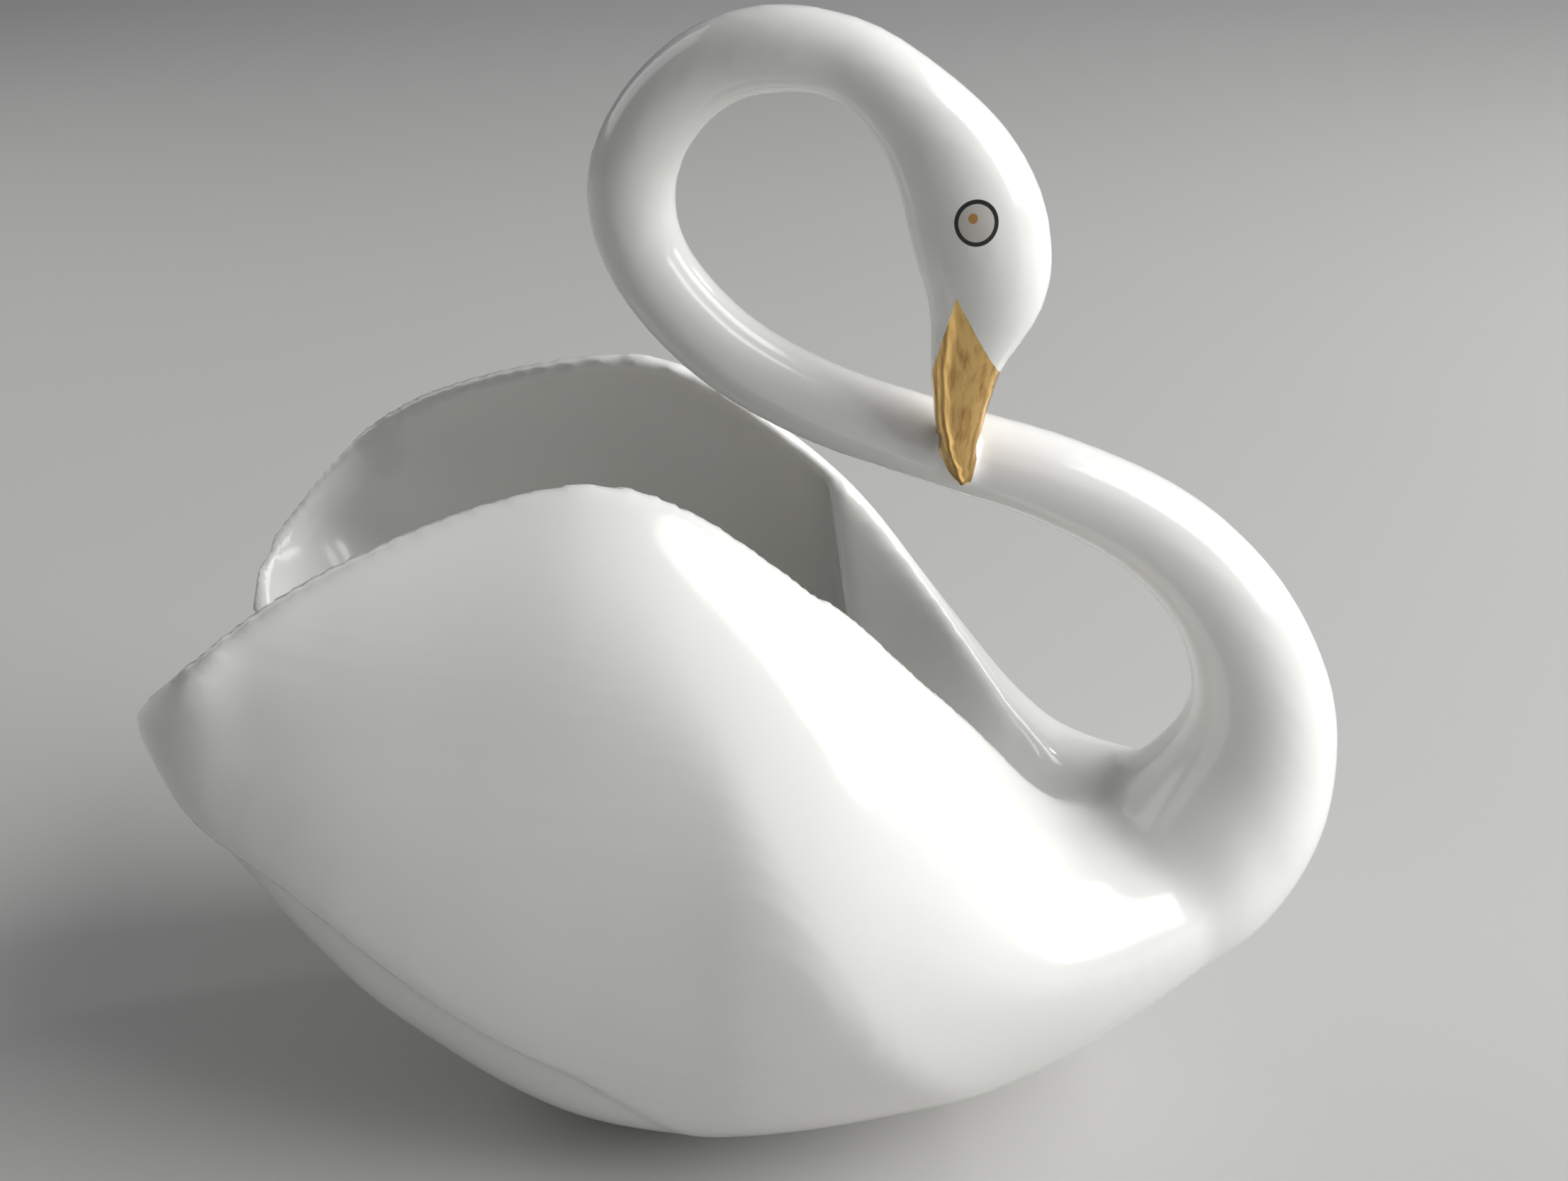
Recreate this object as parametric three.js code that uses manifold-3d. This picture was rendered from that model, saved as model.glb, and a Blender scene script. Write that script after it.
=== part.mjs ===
// A white porcelain swan figurine: an open bowl-shaped body between two raised wings,
// a looped neck and a head whose beak rests against the side of the neck.
// Millimetres, +Z up. The origin is on the table, below the middle of the swan's length.
// The swan faces +X and y = 0 is the mirror plane of its body and wings.

import * as THREE from 'three';
import { mergeVertices } from 'three/addons/utils/BufferGeometryUtils.js';
import Module from 'manifold-3d';

// Driving sizes
const LENGTH = 120;          // wing tips to chest
const WIDTH = 68;            // across the wings
const HEIGHT = 121;          // lowest place of the round belly to the top of the neck's loop
const WALL = 2.2;            // glazed wall of the body and wings
const WING_STEP = 2.2;       // how far the wing's lower edge stands proud of the body
const FOOT_SINK = 3.0;       // how much of the round belly the flat foot takes off
const FOOT_LENGTH = 40;
const FOOT_WIDTH = 22;
const FOOT_MIDDLE = -6;      // x of the foot's middle
const NECK_RADIUS = 4.05;    // slim part of the neck, below the loop
const BEAK_REST = 1.0;       // how deep the beak's inner side is fused into the neck
const HEAD_LEAN = 0.8;       // how much further out the head sits than the beak's tip
const TAIL_NOTCH = 35;       // gap between the two wing tips
const CREST_FLAT = 1.4;      // width of the wing's crest beside the valley

// Fineness of the surfaces
const BODY_STATIONS = 40;
const BODY_SIDES = 36;
const BOWL_STATIONS = 22;
const CAVITY_STATIONS = 30;
const CAVITY_SIDES = 32;
const VALLEY_STATIONS = 18;
const VALLEY_SIDES = 12;
const NECK_STEPS = 62;
const NECK_SIDES = 16;
const FOOT_SIDES = 28;
const LEAST = 0.01;          // a radius that counts as a point

const wasm = await Module();
wasm.setup();

// Smooth value through a few [place, value] keys
function through(keys) {
  const slope = (i) => {
    const a = keys[Math.max(i - 1, 0)];
    const b = keys[Math.min(i + 1, keys.length - 1)];
    return (b[1] - a[1]) / (b[0] - a[0]);
  };
  return (place) => {
    const last = keys.length - 1;
    if (place <= keys[0][0]) return keys[0][1];
    if (place >= keys[last][0]) return keys[last][1];
    let i = 0;
    while (place > keys[i + 1][0]) i += 1;
    const [x0, v0] = keys[i];
    const [x1, v1] = keys[i + 1];
    const h = x1 - x0;
    const t = (place - x0) / h;
    const t2 = t * t;
    const t3 = t2 * t;
    const bend0 = (t3 - 2 * t2 + t) * h * slope(i);
    const bend1 = (t3 - t2) * h * slope(i + 1);
    return (2 * t3 - 3 * t2 + 1) * v0 + bend0 + (3 * t2 - 2 * t3) * v1 + bend1;
  };
}

const smooth = (low, high, value) => THREE.MathUtils.smoothstep(value, low, high);

const range = (from, to, count) => (
  Array.from({ length: count + 1 }, (_, i) => from + (to - from) * i / count)
);

// Places from one end of a rounded form to the other, closer together near its ends
const stations = (from, to, count) => range(0, 1, count).map((u) => {
  const eased = (1 - Math.cos(Math.PI * u)) / 2;
  return from + (to - from) * (0.4 * u + 0.6 * eased);
});

// The body's form as shares: x of LENGTH, z of HEIGHT, y of half the WIDTH
const FRONT = 0.5;
const BACK = -0.516;
const TIP_ROUND = 0.035;     // length of the wing tips' rounded ends, in the plan
const BOWL_FRONT = 0.02;
const CREST_LEAN = 0.965;    // most that the crest spreads, over the section's half width
const OPENING_FRONT = 0.36;
const VALLEY_BACK = -0.02;
const VALLEY_OPEN = 0.12;    // where the valley reaches its full width
const keel = through([
  [-0.53, 0.448], [-0.5, 0.412], [-0.46, 0.344], [-0.42, 0.258], [-0.36, 0.166], [-0.3, 0.098],
  [-0.17, 0.02], [-0.06, 0.008],
  [0.04, 0.026], [0.12, 0.046], [0.2, 0.07], [0.3, 0.115], [0.4, 0.184], [0.46, 0.24], [0.5, 0.31],
]);
const waist = through([
  [-0.53, 0.47], [-0.5, 0.478], [-0.46, 0.484], [-0.42, 0.452], [-0.36, 0.395], [-0.3, 0.352],
  [-0.2, 0.31], [0, 0.275], [0.25, 0.262],
  [0.4, 0.275], [0.5, 0.31],
]);
const rimHeight = through([
  [-0.528, 0.44], [-0.503, 0.466], [-0.42, 0.553], [-0.35, 0.605], [-0.26, 0.647], [-0.17, 0.674],
  [-0.11, 0.68], [-0.05, 0.661], [0.024, 0.611], [0.088, 0.556], [0.136, 0.5], [0.175, 0.453],
  [0.21, 0.408], [0.235, 0.378], [0.27, 0.347], [0.31, 0.335], [0.36, 0.335], [0.42, 0.34],
  [0.47, 0.334], [0.5, 0.31],
]);
const rimSpread = through([
  [-0.528, 0.3], [-0.503, 0.5], [-0.42, 0.83], [-0.36, 0.77], [-0.3, 0.69], [-0.2, 0.575],
  [-0.1, 0.5], [-0.03, 0.465], [0.05, 0.445], [0.088, 0.4], [0.136, 0.335], [0.175, 0.265],
  [0.21, 0.215], [0.235, 0.2], [0.27, 0.15], [0.31, 0.09], [0.36, 0.03], [0.4, 0],
]);
const tailWidth = through([
  [-0.528, 0.33], [-0.503, 0.53], [-0.48, 0.66], [-0.46, 0.755], [-0.44, 0.82], [-0.42, 0.862],
  [-0.39, 0.9], [-0.36, 0.93], [-0.3, 0.968], [-0.2, 0.994], [-0.1, 1], [0, 1],
]);
function halfWidth(x) {
  if (x > 0) return (1 - (x / FRONT) ** 1.6) ** 0.7;
  const end = Math.max(1 - (x - BACK) / TIP_ROUND, 0);
  return tailWidth(x) * Math.sqrt(Math.max(1 - end * end, 0));
}

// The wing's lower edge in the side view, from its tip down and forward under the belly
const WING_EDGE_FRONT = 0.03;
const wingEdge = through([
  [-0.54, 0.485], [-0.505, 0.454], [-0.487, 0.441], [-0.43, 0.41], [-0.357, 0.37], [-0.297, 0.322],
  [-0.235, 0.266], [-0.172, 0.222], [-0.12, 0.19], [-0.06, 0.12], [0, 0], [WING_EDGE_FRONT, -0.08],
]);

// The floor of the valley between the fronts of the wings
const valleyFloor = through([
  [VALLEY_BACK, 0.2], [0.08, 0.26], [0.13, 0.3], [0.175, 0.325], [0.21, 0.334], [0.238, 0.337],
  [0.27, 0.335], [OPENING_FRONT, 0.332],
]);

// One section of the outer surface: half width, height of the widest place, and how far
// the section reaches above and below it. The upper curve passes through the rim.
function section(x) {
  const rimY = rimSpread(x) * WIDTH / 2;
  const w = Math.max(halfWidth(x) * WIDTH / 2, LEAST);
  const middle = waist(x) * HEIGHT;
  const lean = Math.min(rimY / w, CREST_LEAN);
  const high = (rimHeight(x) * HEIGHT - middle) / Math.sqrt(1 - lean ** 2);
  return { w, middle, high: Math.max(high, LEAST), low: Math.max(middle - keel(x) * HEIGHT, LEAST) };
}

function solidOf(geometry) {
  const bare = geometry.clone();
  bare.deleteAttribute('normal');
  bare.deleteAttribute('uv');
  const merged = mergeVertices(bare, 1e-4);
  const mesh = new wasm.Mesh({
    numProp: 3,
    vertProperties: new Float32Array(merged.attributes.position.array),
    triVerts: new Uint32Array(merged.index.array),
  });
  const solid = new wasm.Manifold(mesh);
  if (solid.volume() >= 0) return solid;
  for (let i = 0; i < mesh.triVerts.length; i += 3) {
    [mesh.triVerts[i], mesh.triVerts[i + 1]] = [mesh.triVerts[i + 1], mesh.triVerts[i]];
  }
  return new wasm.Manifold(mesh);
}

// Closed skin over rings of points, with a fan at each end
function skin(rings) {
  const sides = rings[0].length;
  const points = [];
  const faces = [];
  for (const ring of rings) {
    for (const p of ring) points.push(...p);
  }
  const middleOf = (ring) => [0, 1, 2].map((k) => ring.reduce((sum, p) => sum + p[k], 0) / sides);
  points.push(...middleOf(rings[0]));
  points.push(...middleOf(rings[rings.length - 1]));
  const start = rings.length * sides;
  for (let j = 0; j < sides; j += 1) {
    const k = (j + 1) % sides;
    faces.push(start, k, j);
    faces.push(start + 1, start - sides + j, start - sides + k);
    for (let i = 0; i + 1 < rings.length; i += 1) {
      const a = i * sides;
      const b = a + sides;
      faces.push(a + j, a + k, b + k);
      faces.push(a + j, b + k, b + j);
    }
  }
  const geometry = new THREE.BufferGeometry();
  geometry.setAttribute('position', new THREE.Float32BufferAttribute(points, 3));
  geometry.setIndex(faces);
  return solidOf(geometry);
}

// Egg-shaped solid between two x shares. `inset` gives how far it lies inside the outer
// surface at a place, `rounding` how long its rounded ends are, as shares of LENGTH.
function egg(from, to, inset, rounding, count, sides, roof = () => Infinity) {
  const rings = stations(from, to, count).map((x) => {
    const back = rounding[0] ? Math.max(1 - (x - from) / rounding[0], 0) : 0;
    const front = rounding[1] ? Math.max(1 - (to - x) / rounding[1], 0) : 0;
    const round = Math.sqrt(Math.max(1 - back * back - front * front, 1e-6));
    const s = section(x);
    const high = Math.min(s.high - inset(x, 1), roof(x) * HEIGHT - s.middle);
    const low = s.low - inset(x, -1);
    return range(0, 2 * Math.PI, sides).slice(0, sides).map((angle) => {
      const up = Math.sin(angle);
      const z = s.middle + Math.max(up > 0 ? high : low, LEAST) * up * round;
      const y = Math.cos(angle) * Math.max(s.w - inset(x, 0, z / HEIGHT), LEAST) * round;
      return [x * LENGTH, y, z];
    });
  });
  return skin(rings);
}

// A prism along Y over an outline in the side view, wider than the swan
function sideways(points) {
  const shape = new THREE.Shape(points.map(([x, z]) => new THREE.Vector2(x, z)));
  const geometry = new THREE.ExtrudeGeometry(shape, { depth: 2 * WIDTH, bevelEnabled: false });
  geometry.translate(0, 0, -WIDTH);
  geometry.rotateX(Math.PI / 2);
  return solidOf(geometry);
}

// Everything between two heights
function slab(bottom, top) {
  return sideways([[-LENGTH, bottom], [LENGTH, bottom], [LENGTH, top], [-LENGTH, top]]);
}

// How far the bowl's surface lies inside the wing's: the step under the wing's edge, which
// fades out towards the tip and the belly, and is shallower below than at the sides
const BOWL_GAP = 0.2;
const UNDER_SHARE = 0.35;
const STEP_STARTS = [-0.5, -0.41];
const STEP_ENDS = [-0.32, -0.02];
const step = (x) => WING_STEP * smooth(...STEP_STARTS, x) * (1 - smooth(...STEP_ENDS, x));
const bowlInset = (x, side) => BOWL_GAP + (side < 0 ? UNDER_SHARE : 1) * step(x);

function wings() {
  const whole = egg(BACK, FRONT, () => 0, [0, 0], BODY_STATIONS, BODY_SIDES);
  const edge = range(-0.54, WING_EDGE_FRONT, 18).map((x) => [x * LENGTH, wingEdge(x) * HEIGHT]);
  const above = [[LENGTH, edge[18][1]], [LENGTH, 2 * HEIGHT], [-LENGTH, 2 * HEIGHT], [-LENGTH, edge[0][1]]];
  return whole.intersect(sideways([...edge, ...above]));
}

// The bowl-shaped body whose round back end shows below and between the wings
function bowl() {
  const roof = () => 0.5;
  return egg(BACK, BOWL_FRONT, bowlInset, [0, 0], BOWL_STATIONS, BODY_SIDES, roof);
}

// Everything above the wings' crests
function opening() {
  const crest = stations(BACK, FRONT, BODY_STATIONS).filter((x) => x < OPENING_FRONT - 0.01);
  const side = [-0.56, ...crest, OPENING_FRONT].map((x) => [x * LENGTH, rimHeight(x) * HEIGHT]);
  return sideways([...side, [OPENING_FRONT * LENGTH, 2 * HEIGHT], [-0.56 * LENGTH, 2 * HEIGHT]]);
}

// The valley between the fronts of the wings, which runs out on the back before the neck
function valley() {
  const edgeAt = (x) => CREST_FLAT + 1.5 * WALL * (1 - smooth(VALLEY_BACK, VALLEY_OPEN, x));
  const rings = range(VALLEY_BACK, OPENING_FRONT, VALLEY_STATIONS).map((x) => {
    const top = rimHeight(x) * HEIGHT;
    const half = Math.max(rimSpread(x) * WIDTH / 2 - edgeAt(x), 0.3);
    const deep = Math.max(top - valleyFloor(x) * HEIGHT, 0.05);
    const floor = range(-1, 1, VALLEY_SIDES).map((across) => [
      x * LENGTH, across * half, top - deep * (1 - across * across),
    ]);
    return [...floor, [x * LENGTH, half, top + 2 * WALL], [x * LENGTH, -half, top + 2 * WALL]];
  });
  return skin(rings);
}

// The hollow of the bowl, which reaches forward under the swan's back. Its wall is even
// where the keel is steep, and where the wing's edge steps out from the bowl.
const CAVITY_FRONT = 0.43;
const CAVITY_ROUND = 0.12;   // length of the hollow's rounded front end
const SPAN = 0.01;           // the length over which the keel's slope is taken
const EDGE_FADE = 0.07;
function cavity() {
  const slope = (x) => (keel(x + SPAN) - keel(x - SPAN)) / (2 * SPAN) * HEIGHT / LENGTH;
  const level = (x, z) => 1 - smooth(wingEdge(x), wingEdge(x) + EDGE_FADE, z);
  const inset = (x, side, z) => {
    if (side < 0) return WALL * Math.hypot(1, slope(x)) + bowlInset(x, side);
    return side > 0 ? WALL : WALL + bowlInset(x, side) * level(x, z);
  };
  const roof = (x) => 1 - (1 - valleyFloor(x) + WALL / HEIGHT) * smooth(VALLEY_BACK, VALLEY_OPEN, x);
  const back = BACK + WALL / LENGTH;
  return egg(back, CAVITY_FRONT, inset, [0, CAVITY_ROUND], CAVITY_STATIONS, CAVITY_SIDES, roof);
}

// The gap between the wing tips: a shallow U in the rim of the bowl's back
const NOTCH_SIDES = 14;
const NOTCH_FLOOR = 0.39;
const NOTCH_TOP = 0.5;
const NOTCH_FRONT = -0.42;
function notch() {
  const outline = range(-1, 1, NOTCH_SIDES).map((across) => [
    across * TAIL_NOTCH / 2, (NOTCH_FLOOR + (NOTCH_TOP - NOTCH_FLOOR) * across ** 2) * HEIGHT,
  ]);
  const shape = [...outline, [TAIL_NOTCH / 2, 2 * HEIGHT], [-TAIL_NOTCH / 2, 2 * HEIGHT]];
  return skin([-LENGTH, NOTCH_FRONT * LENGTH].map((x) => shape.map(([y, z]) => [x, y, z])));
}

// Neck, head and beak: [x, z, radius] as shares of LENGTH, HEIGHT and NECK_RADIUS
const NECK = [
  [0.35, 0.235, 2.2], [0.393, 0.285, 2.5], [0.42, 0.343, 2.42], [0.432, 0.403, 2.02], [0.427, 0.454, 1.7],
  [0.393, 0.528, 1.39], [0.33, 0.591, 1.21], [0.243, 0.635, 1.08], [0.152, 0.663, 1.01], [0.042, 0.7, 0.98],
  [-0.033, 0.745, 0.97], [-0.087, 0.811, 0.98], [-0.097, 0.867, 1.02], [-0.077, 0.918, 0.96],
  [-0.034, 0.96, 0.92], [0.013, 0.976, 0.92], [0.07, 0.971, 0.88], [0.116, 0.94, 1.04],
  [0.148, 0.901, 1.34], [0.166, 0.861, 1.51], [0.175, 0.822, 1.45], [0.174, 0.8, 1.3],
  [0.17, 0.779, 1.08], [0.165, 0.757, 0.87], [0.162, 0.727, 0.7], [0.161, 0.69, 0.5], [0.166, 0.645, 0.12],
];
// Places along that list: the root, the crown of the head, the bill and its tip
const ROOT_END = 3;
const LOOP_START = 11;
const CROWN = 16;
const CHEEK = 19;
const BILL = 22;
const TIP = NECK.length - 1;
const HEAD_FLAT = 0.8;       // thickness of the head and bill over their depth
const ROOT_BROAD = 1.25;     // breadth of the neck's root over its depth
const NEAR_TIP = NECK[TIP - 1][2];
const TIP_SIDE = NECK_RADIUS + HEAD_FLAT * NEAR_TIP * NECK_RADIUS - BEAK_REST;

function neck() {
  const points = NECK.map(([x, z, r]) => new THREE.Vector3(x * LENGTH, r * NECK_RADIUS, z * HEIGHT));
  const curve = new THREE.CatmullRomCurve3(points, false, 'centripetal');
  const rings = range(0, 1, NECK_STEPS).map((t) => {
    const at = curve.getPoint(t);
    const tangent = curve.getTangent(t).setY(0).normalize();
    const place = t * TIP;
    const radius = at.y;
    const head = 1 - (1 - HEAD_FLAT) * smooth(CROWN, CHEEK, place);
    const broad = head + (ROOT_BROAD - 1) * (1 - smooth(0, ROOT_END, place));
    const toHead = smooth(LOOP_START, CROWN + 2, place);
    const aside = HEAD_LEAN * smooth(BILL, TIP, place) - (TIP_SIDE + HEAD_LEAN) * toHead;
    return range(0, 2 * Math.PI, NECK_SIDES).slice(0, NECK_SIDES).map((angle) => {
      const out = radius * Math.cos(angle);
      const side = broad * radius * Math.sin(angle);
      return [at.x - tangent.z * out, aside + side, at.z + tangent.x * out];
    });
  });
  return skin(rings);
}

// The low oval foot, let into the belly
function foot() {
  return skin([FOOT_SINK, FOOT_SINK + 1.5 * WALL].map((z) => (
    range(0, 2 * Math.PI, FOOT_SIDES).slice(0, FOOT_SIDES).map((angle) => [
      FOOT_MIDDLE + FOOT_LENGTH / 2 * Math.cos(angle), FOOT_WIDTH / 2 * Math.sin(angle), z,
    ])
  )));
}

function swan() {
  const inside = cavity();
  const outside = wings().add(bowl()).add(foot());
  const body = outside.subtract(opening()).subtract(valley()).subtract(inside.add(notch()));
  const joined = body.add(neck().subtract(inside));
  return joined.subtract(slab(-HEIGHT, FOOT_SINK));
}

function geometryOf(solid) {
  const mesh = solid.getMesh();
  const geometry = new THREE.BufferGeometry();
  geometry.setAttribute('position', new THREE.BufferAttribute(new Float32Array(mesh.vertProperties), 3));
  geometry.setIndex(new THREE.BufferAttribute(new Uint32Array(mesh.triVerts), 1));
  geometry.computeVertexNormals();
  return geometry;
}

const porcelain = new THREE.MeshStandardMaterial({ color: 0xf3f3f0, roughness: 0.12, metalness: 0 });
const standing = geometryOf(swan());
standing.computeBoundingBox();
standing.translate(-(standing.boundingBox.min.x + standing.boundingBox.max.x) / 2, 0, -FOOT_SINK);
const figurine = new THREE.Mesh(standing, porcelain);
figurine.name = 'swan_figurine';

const group = new THREE.Group();
group.add(figurine);

export default group;
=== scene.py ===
import math

import bpy
import numpy as np
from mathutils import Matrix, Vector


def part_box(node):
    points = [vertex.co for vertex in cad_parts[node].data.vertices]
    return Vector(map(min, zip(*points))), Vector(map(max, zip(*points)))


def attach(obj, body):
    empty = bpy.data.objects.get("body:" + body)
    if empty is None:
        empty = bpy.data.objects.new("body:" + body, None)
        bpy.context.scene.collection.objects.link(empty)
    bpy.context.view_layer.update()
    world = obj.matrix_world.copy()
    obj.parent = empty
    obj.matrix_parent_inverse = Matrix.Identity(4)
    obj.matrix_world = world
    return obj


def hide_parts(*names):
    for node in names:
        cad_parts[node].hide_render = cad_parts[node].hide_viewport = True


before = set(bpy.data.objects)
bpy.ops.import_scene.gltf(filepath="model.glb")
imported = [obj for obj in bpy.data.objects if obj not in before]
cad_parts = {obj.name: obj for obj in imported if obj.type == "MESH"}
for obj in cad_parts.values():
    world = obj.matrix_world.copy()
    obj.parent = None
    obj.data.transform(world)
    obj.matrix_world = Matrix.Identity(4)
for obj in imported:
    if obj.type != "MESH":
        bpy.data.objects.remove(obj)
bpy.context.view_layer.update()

import openvdb
from bpy.props import FloatProperty, FloatVectorProperty, IntProperty, PointerProperty
from mathutils import Matrix, Vector
from mathutils.bvhtree import BVHTree

bl_info = {
    "name": "Porcelain swan",
    "version": (1, 0, 0),
    "blender": (4, 5, 0),
    "location": "View3D > Sidebar > Swan",
    "description": "A glazed porcelain swan dish with a gilded beak, on a plain stage",
    "category": "Object",
}

NODE = "swan_figurine"
MM = 0.001


def linear(code):
    """An sRGB hex colour as linear red, green and blue."""
    parts = [int(code[i:i + 2], 16) / 255 for i in (0, 2, 4)]
    return tuple(p / 12.92 if p <= 0.04045 else ((p + 0.055) / 1.055) ** 2.4 for p in parts)


def size_of(name, description, millimetres, **more):
    """A length that a user may change."""
    default = millimetres * MM
    return FloatProperty(name=name, description=description, default=default, unit="LENGTH", **more)


def amount_of(name, description, amount, **more):
    """A plain amount that a user may change."""
    return FloatProperty(name=name, description=description, default=amount, **more)


def angle_of(name, description, degrees):
    """An angle that a user may change."""
    default = math.radians(degrees)
    return FloatProperty(name=name, description=description, default=default, subtype="ANGLE")


def colour_of(name, description, code):
    """A colour that a user may change."""
    return FloatVectorProperty(
        name=name, description=description, default=linear(code), subtype="COLOR", min=0.0, max=1.0
    )


# Sizes, colours and the studio


class SwanSizes(bpy.types.PropertyGroup):
    length: size_of("Length", "Wing tips to chest", 120)
    width: size_of("Width", "Across the wings", 68)
    height: size_of("Height", "Lowest place of the round belly to the top of the neck's loop", 121)
    wall: size_of("Wall", "Glazed wall of the body and wings", 2.2)
    wing_step: size_of("Wing step", "How far the wing's lower edge stands proud of the body", 2.2)
    ridge: size_of("Ridge", "How far the soft ridge on each wing stands out", 1.8)
    ridge_reach: size_of("Ridge reach", "How far the ridge falls away to each side", 9)
    ridge_round: size_of("Ridge rounding", "How softly the ridge is rounded", 2.5)
    foot_sink: size_of("Foot sink", "How much of the round belly the flat foot takes off", 3.0)
    foot_length: size_of("Foot length", "Length of the oval foot", 40)
    foot_width: size_of("Foot width", "Width of the oval foot", 22)
    foot_middle: size_of("Foot middle", "How far along the body the foot's middle lies", -6)
    neck_radius: size_of("Neck radius", "Slim part of the neck, below the loop", 4.05)
    beak_rest: size_of("Beak rest", "How deep the beak's inner side is fused into the neck", 1.0)
    head_lean: size_of("Head lean", "How much further out the head sits than the beak's tip", 0.8)
    tail_notch: size_of("Tail notch", "Gap between the two wing tips", 35)
    crest_flat: size_of("Crest", "Width of the wing's crest beside the valley", 1.4)
    grain: size_of("Surface grain", "Size of the faces that the casting is skinned with", 0.79)
    softness: size_of("Softness", "How far the glaze rounds the edges", 0.6)
    bill_softness: size_of("Beak softness", "How far it rounds the beak", 0.3)
    tip_softness: size_of("Wing tip softness", "How far it rounds the wing tips", 0.75)
    valley_blend: size_of("Valley blend", "How softly the valley opens into the bowl", 1.6)
    rim_round: size_of("Rim rounding", "How far the thin rims are rounded", 0.9)
    fillet: size_of("Root fillet", "How broadly the neck's root blends into the chest", 7)
    beak_fillet: size_of("Beak fillet", "How broadly the beak is joined to the neck", 0.8)
    polish: IntProperty(name="Polish", description="Rounds that even out the skin", default=8, min=0)
    eye: size_of("Eye", "Outer radius of the painted ring", 1.92)
    eye_line: size_of("Eye line", "Width of the painted ring", 0.36)
    eye_dot: size_of("Eye dot", "Radius of the dot in the eye", 0.44)


class SwanColours(bpy.types.PropertyGroup):
    glaze: colour_of("Glaze", "White glaze over the porcelain", "F3F2EE")
    # Painted shade: the darker green-grey that the creases and hollows are painted
    crease_shade: colour_of("Painted crease shade", "Painted shade, darker where the surface is hollow", "DCDFDC")
    gilding: colour_of("Gilding", "Fired gold on the beak", "E2BC7A")
    # Painted dark reflection: the browner colour of the streaks on the gold
    dark_reflection: colour_of("Painted dark reflection", "Painted dark reflection on the gold, in browner streaks", "96663A")
    ring: colour_of("Eye ring", "Painted ring round the eye", "2B2A2C")
    iris: colour_of("Eye", "Painted ground inside the ring", "CFCAC4")
    dot: colour_of("Eye dot", "Ochre dot in the eye", "B98A4C")


class SwanStudio(bpy.types.PropertyGroup):
    focal: amount_of("Focal length", "Of the camera, in millimetres", 40.69)
    azimuth: angle_of("Azimuth", "Of the camera, round the swan", 4.93)
    elevation: angle_of("Elevation", "Of the camera, above the table", 28)
    distance: size_of("Distance", "From the camera to the point that it looks at", 200)
    aim: FloatVectorProperty(
        name="Aim", description="The point that the camera looks at",
        default=(0.0006, 0.0164, 0.0517), unit="LENGTH",
    )
    floor: colour_of("Floor", "Plain pale floor", "C9C8C5")
    sky: colour_of("Room", "Light that comes from all round", "C4C8CE")
    room: amount_of("Room light", "Strength of the light from the bright side", 0.5)
    dim: amount_of("Dim side", "Strength of the light from the other side", 0.07)
    key: amount_of("Key light", "Power of the large soft light", 15.0, unit="POWER")
    fill: amount_of("Fill light", "Power of the weak light from behind", 0.7, unit="POWER")
    lamp: amount_of("Lamp", "Power of the small square lamp", 0.3, unit="POWER")


# The form, as shares: x of the length, z of the height, y of half the width


def through(keys):
    """A smooth function through a few [place, value] keys."""
    places, values = np.array(keys, float).T
    ends = np.arange(len(keys))
    before, after = np.maximum(ends - 1, 0), np.minimum(ends + 1, len(keys) - 1)
    slopes = (values[after] - values[before]) / (places[after] - places[before])

    def at(place):
        p = np.clip(place, places[0], places[-1])
        i = np.clip(np.searchsorted(places, p, side="right") - 1, 0, len(keys) - 2)
        h = places[i + 1] - places[i]
        t = (p - places[i]) / h
        bend = (t**3 - 2 * t**2 + t) * h * slopes[i] + (t**3 - t**2) * h * slopes[i + 1]
        return (2 * t**3 - 3 * t**2 + 1) * values[i] + (3 * t**2 - 2 * t**3) * values[i + 1] + bend

    return at


def smooth(low, high, value):
    """0 below low and 1 above high, with a soft turn between."""
    t = np.clip((value - low) / (high - low), 0, 1)
    return t * t * (3 - 2 * t)


# Ends of the body, its round wing tips, its chest in the plan, and the stretch of the tips
FRONT, BACK = 0.5, -0.516
TIP_ROUND = 0.035
CHEST_POWERS = (1.6, 0.7)
TAIL_ENDS = (-0.49, -0.46)
# How far the crest may lean in over the widest place before its wall stands upright
CREST_LEAN = 0.965
# The opening along the rim, the gap between the tips, and the valley between the wings' fronts
OPENING_BACK, OPENING_FRONT = -0.56, 0.36
NOTCH_FLOOR, NOTCH_TOP, NOTCH_FRONT = 0.39, 0.5, -0.42
VALLEY_BACK, VALLEY_OPEN, VALLEY_EDGE = -0.02, 0.12, 0.8
VALLEY_LEAST, VALLEY_SHALLOW = 0.3 * MM, 0.05 * MM
VALLEY_JOIN = (0.05, 0.085)
# The wing's lower edge, and where it stands proud of the bowl below it
WING_EDGE_BACK, WING_EDGE_FRONT = -0.54, 0.03
STEP_STARTS, STEP_ENDS = (-0.5, -0.41), (-0.32, -0.02)
BOWL_FRONT, BOWL_TOP = 0.02, 0.5
BOWL_GAP = 0.2 * MM
UNDER_SHARE = 0.35
# The hollow: its front end, how its wall follows a slope, and how it fades in above the edge
CAVITY_FRONT, CAVITY_ROUND = 0.43, 0.12
EDGE_FADE = 0.07
SPAN = 0.01
STEEPEST = 1.6
FOOT_DEPTH = 1.5
LEAST = 0.01 * MM
SPECK = 1e-6
# The casting: how far its fields reach in grains, its grid's corners as shares of the swan's
# length, width and height, how far a blur reaches, how far the hollow is lifted at the tips, and
# the two steps that even out the skin without thinning it
BAND = 14
GRID_LOW, GRID_HIGH = (-0.55, -0.6, -0.05), (0.55, 0.6, 1.05)
BLUR, TIP_LIFT = 3, 2
SHRINK, SWELL = 0.6, 0.63
WELD = 0.001 * MM
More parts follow.
